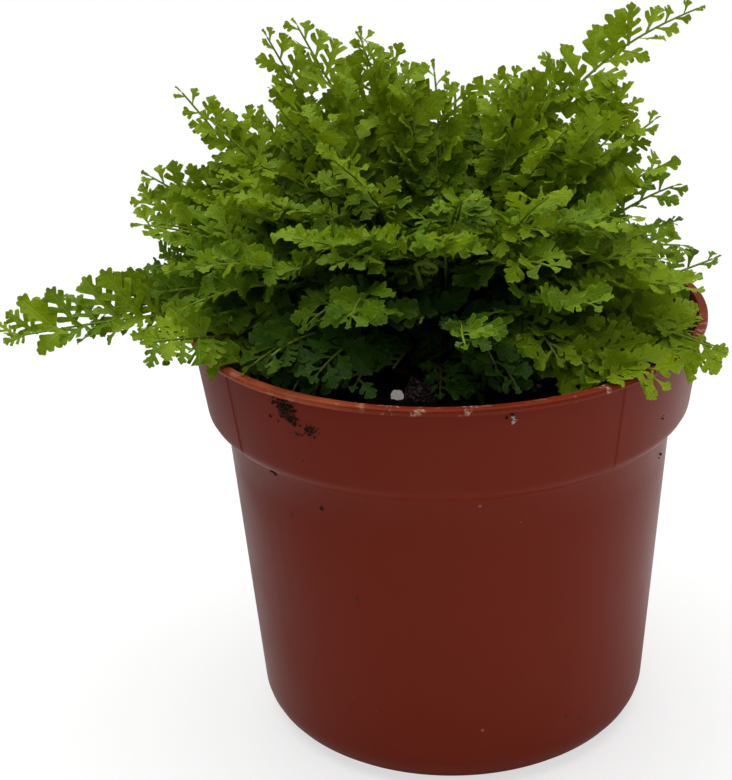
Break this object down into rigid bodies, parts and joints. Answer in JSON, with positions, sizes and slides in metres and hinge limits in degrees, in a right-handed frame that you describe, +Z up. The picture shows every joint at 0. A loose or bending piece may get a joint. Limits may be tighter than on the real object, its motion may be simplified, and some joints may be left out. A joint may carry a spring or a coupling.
{
  "type": "potted fern",
  "caption": "Young bushy fern with crested, parsley-like fronds arching from a low crown, growing in potting mix in a round collared terracotta-coloured plastic pot.",
  "frame": {"origin": "middle of the pot's flat base, on the surface that the pot stands on", "axes": "+Z up the pot, -Y towards the front, +X to the right as seen from the front"},
  "size_m": [0.1682, 0.1369, 0.1688],
  "materials": {
    "pot_plastic": "satin moulded terracotta-brown plastic, scuffed and soil-marked at the rim",
    "potting_mix": "matt damp fibrous peat mix with fine crumbs",
    "rootstock": "matt brown scaly rootstock with old frond bases",
    "frond_leaf": "soft satin green leaf with paler veins and midribs, slightly translucent",
    "bark": "matt dark reddish-brown bark",
    "white_mineral": "matt rough white expanded mineral"
  },
  "bodies": {
    "root": {"bark_chip_front": "bark", "bark_chip_side": "bark", "crown": "rootstock", "crozier_back": "frond_leaf", "crozier_front": "frond_leaf", "frond_front_1": "frond_leaf", "frond_front_2": "frond_leaf", "frond_front_3": "frond_leaf", "frond_front_4": "frond_leaf", "frond_inner_1": "frond_leaf", "frond_inner_2": "frond_leaf", "frond_inner_3": "frond_leaf", "frond_inner_4": "frond_leaf", "frond_left_back": "frond_leaf", "frond_left_curl": "frond_leaf", "frond_left_face": "frond_leaf", "frond_left_long": "frond_leaf", "frond_left_low": "frond_leaf", "frond_left_middle": "frond_leaf", "frond_middle_1": "frond_leaf", "frond_middle_10": "frond_leaf", "frond_middle_2": "frond_leaf", "frond_middle_3": "frond_leaf", "frond_middle_4": "frond_leaf", "frond_middle_5": "frond_leaf", "frond_middle_6": "frond_leaf", "frond_middle_7": "frond_leaf", "frond_middle_8": "frond_leaf", "frond_middle_9": "frond_leaf", "frond_outer_1": "frond_leaf", "frond_outer_2": "frond_leaf", "frond_outer_3": "frond_leaf", "frond_outer_4": "frond_leaf", "frond_outer_5": "frond_leaf", "frond_right_face": "frond_leaf", "frond_right_long": "frond_leaf", "frond_right_low": "frond_leaf", "frond_right_middle": "frond_leaf", "frond_right_upper": "frond_leaf", "frond_top_fork": "frond_leaf", "frond_top_left": "frond_leaf", "frond_top_middle": "frond_leaf", "frond_top_right": "frond_leaf", "frond_upper_1": "frond_leaf", "frond_upper_2": "frond_leaf", "frond_upper_3": "frond_leaf", "frond_upper_4": "frond_leaf", "frond_upper_5": "frond_leaf", "frond_upper_6": "frond_leaf", "frond_upper_7": "frond_leaf", "frond_upper_8": "frond_leaf", "frond_upper_9": "frond_leaf", "mineral_grain_front": "white_mineral", "mineral_grain_left": "white_mineral", "mineral_grain_right": "white_mineral", "pot": "pot_plastic", "potting_mix": "potting_mix"}
  },
  "joints": []
}
